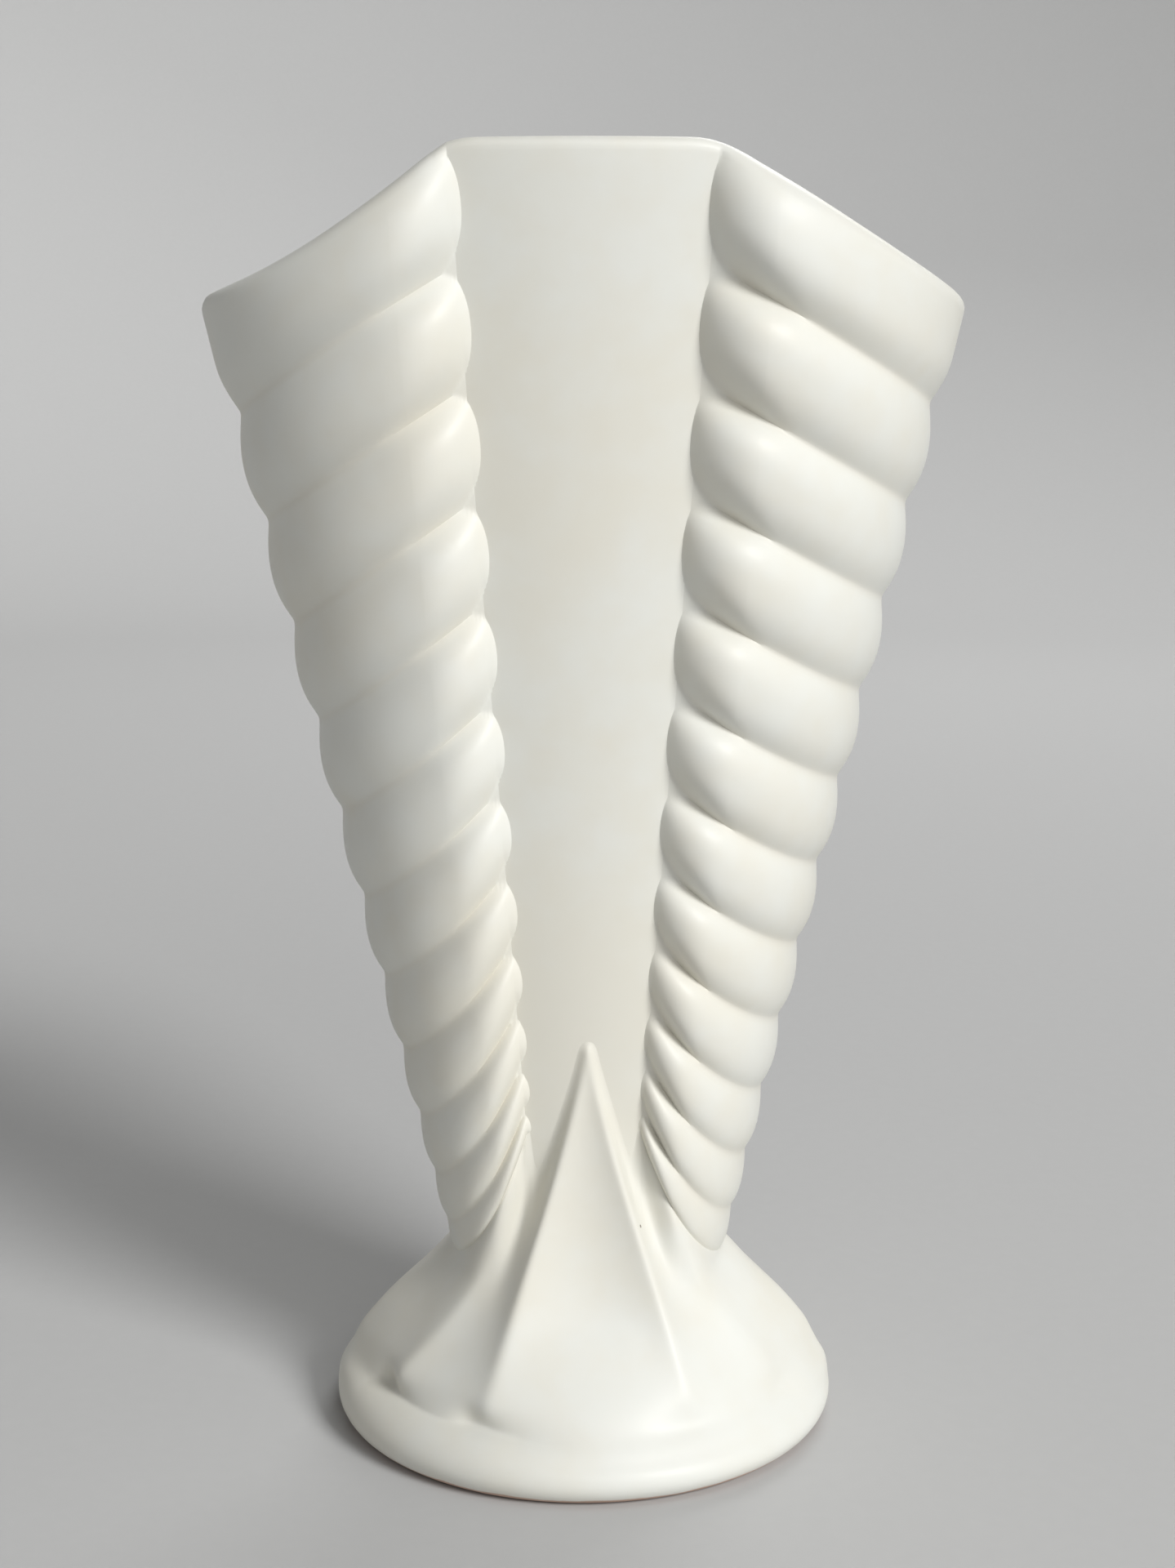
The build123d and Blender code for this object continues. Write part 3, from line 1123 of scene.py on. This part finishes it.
    def hollow(self, rim: float) -> Pair:
        """Wall of the room under the foot, from its top down to the standing ring.

        Args:
            rim: Inner radius of the standing ring.

        Returns:
            Radii and heights of the rows.
        """
        share = np.linspace(0.0, 1.0, self.hollow_rows)
        low, waist, top = np.array([rim, 0.0]), np.array(self.hollow_waist), np.array(self.hollow_top)
        bend = 2.0 * waist - (low + top) / 2.0
        curve = np.outer((1 - share) ** 2, top) + np.outer(2 * share * (1 - share), bend)
        curve = curve + np.outer(share**2, low)
        return curve[:, 0], curve[:, 1]

    def dress(self, material: Finish) -> None:
        """Builds the foot under the glaze, in place of its node."""
        place_piece(self.build(), material, "pedestal_foot")


@dataclass(frozen=True)
class Inside:
    """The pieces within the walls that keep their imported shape."""

    def dress(self, glaze: Finish, clay: Finish) -> None:
        """Gives the vessel floor its glaze and the slip bed its clay.

        Args:
            glaze: Finish of the floor.
            clay: Finish of the slip.
        """
        for node, material in (("vessel_floor", glaze), ("luting_bed", clay)):
            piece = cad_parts[node]
            piece.data.materials.clear()
            piece.data.materials.append(material)
            LOG.info("%s keeps its packed shape", node)


@dataclass(frozen=True)
class Lamp:
    """One soft area lamp."""

    name: str
    place: Place
    size: float
    power: float
    aim: Place = (0.0, 0.0, 0.1)

    def hang(self) -> None:
        """Adds the lamp, turned to the vase and hidden from the camera."""
        light = bpy.data.lights.new(self.name, "AREA")
        light.shape = "SQUARE"
        light.size, light.energy = self.size, self.power
        lamp = bpy.data.objects.new(self.name, light)
        lamp.location = self.place
        lamp.rotation_euler = (Vector(self.aim) - Vector(self.place)).to_track_quat("-Z", "Y").to_euler()
        lamp.visible_camera = False
        bpy.context.scene.collection.objects.link(lamp)


@dataclass(frozen=True)
class Window:
    """Distant soft light, which falls evenly on the vase and on all of the floor."""

    name: str
    towards: Place
    strength: float
    width: float

    def hang(self) -> None:
        """Adds the light."""
        light = bpy.data.lights.new(self.name, "SUN")
        light.energy, light.angle = self.strength, math.radians(self.width)
        window = bpy.data.objects.new(self.name, light)
        window.rotation_euler = Vector(self.towards).to_track_quat("Z", "Y").to_euler()
        bpy.context.scene.collection.objects.link(window)


@dataclass(frozen=True)
class Studio:
    """Pale paper bowl, soft lamps and the camera. Its sizes are in metres."""

    floor_radius: float = 1.1
    sweep_radius: float = 0.7
    wall_height: float = 1.5
    columns: int = 96
    camera_place: Place = (0.0006, -0.3672, 0.1697)
    camera_dip: float = 10.26
    sensor: float = 36.0
    lens: float = 54.09
    world: Colour = (0.055, 0.056, 0.059, 1.0)

    def bowl(self, material: Finish) -> None:
        """Floor that sweeps up into a wall all round.

        Args:
            material: The paper.
        """
        turns = np.linspace(0.0, math.pi / 2.0, 16)
        r = np.concatenate([[0.3, 0.7], self.floor_radius + self.sweep_radius * np.sin(turns)])
        z = np.concatenate([[0.0, 0.0], self.sweep_radius * (1.0 - np.cos(turns))])
        r, z = np.append(r, r[-1]), np.append(z, self.wall_height)
        angles = np.linspace(0.0, 2.0 * math.pi, self.columns, endpoint=False)
        rows = np.stack([r[:, None] * np.cos(angles), r[:, None] * np.sin(angles),
                         z[:, None] * np.ones(self.columns)], -1) / MM
        shell = Shell(rows, np.zeros(rows.shape[:2]))
        shell.weave(len(r) - 1, self.columns)
        shell.pole((0.0, 0.0, 0.0), 0)
        bowl = shell.make("studio_bowl", 60.0)
        bowl.data.materials.append(material)
        bowl.visible_shadow = False

    def light(self) -> None:
        """Hangs the lamps and sets the pale surroundings."""
        Window("window", (0.90, -0.96, 0.82), 2.55, 19.0).hang()
        Lamp("front", (0.35, -1.0, 0.65), 0.6, 2.6).hang()
        Lamp("behind", (0.35, 1.0, 0.95), 0.6, 5.0).hang()
        Lamp("backdrop", (0.4, -0.4, 1.3), 0.8, 5.0, aim=(1.25, -1.3, 0.45)).hang()
        world = bpy.data.worlds.new("surroundings")
        world.use_nodes = True
        world.node_tree.nodes["Background"].inputs["Color"].default_value = self.world
        bpy.context.scene.world = world

    def camera(self) -> None:
        """Sets up the camera at the photograph's viewing angle."""
        data = bpy.data.cameras.new("camera")
        data.sensor_width, data.lens = self.sensor, self.lens
        data.clip_start = 0.01
        camera = bpy.data.objects.new("camera", data)
        camera.location = self.camera_place
        camera.rotation_euler = (math.radians(90.0 - self.camera_dip), 0.0, 0.0)
        bpy.context.scene.collection.objects.link(camera)
        bpy.context.scene.camera = camera


def main() -> None:
    """Builds the studio and every piece of the vase."""
    logging.basicConfig(level=logging.INFO)
    bpy.context.scene.view_settings.view_transform = "Standard"
    studio = Studio()
    studio.camera()
    studio.light()
    studio.bowl(StudioPaper().material())
    glaze, clay = IvoryGlaze().material(), BareClay().material()
    form = BodyForm.from_frame()
    for face in Face:
        Panel(form, face).dress(glaze)
    wings = (
        Wing(form, Side.RIGHT, panel_crowding=1.41, tip_crowding=1.23, waist_half=22.5, scallop=1.0,
             valley_round=0.35, valley_share=0.0, end_relief_share=0.15),
        Wing(form, Side.LEFT, panel_crowding=1.44, tip_crowding=1.36, waist_half=21.2, scallop=1.8,
             valley_round=1.1, valley_share=0.65, end_relief_share=0.12, rim_sag=2.6),
    )
    for wing in wings:
        wing.dress(glaze)
    foot_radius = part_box("pedestal_foot")[1].x / MM
    Foot(form, foot_radius, tuple(wing.lower_edge() for wing in wings)).dress(glaze)
    Inside().dress(glaze, clay)


if __name__ == "__main__":
    main()
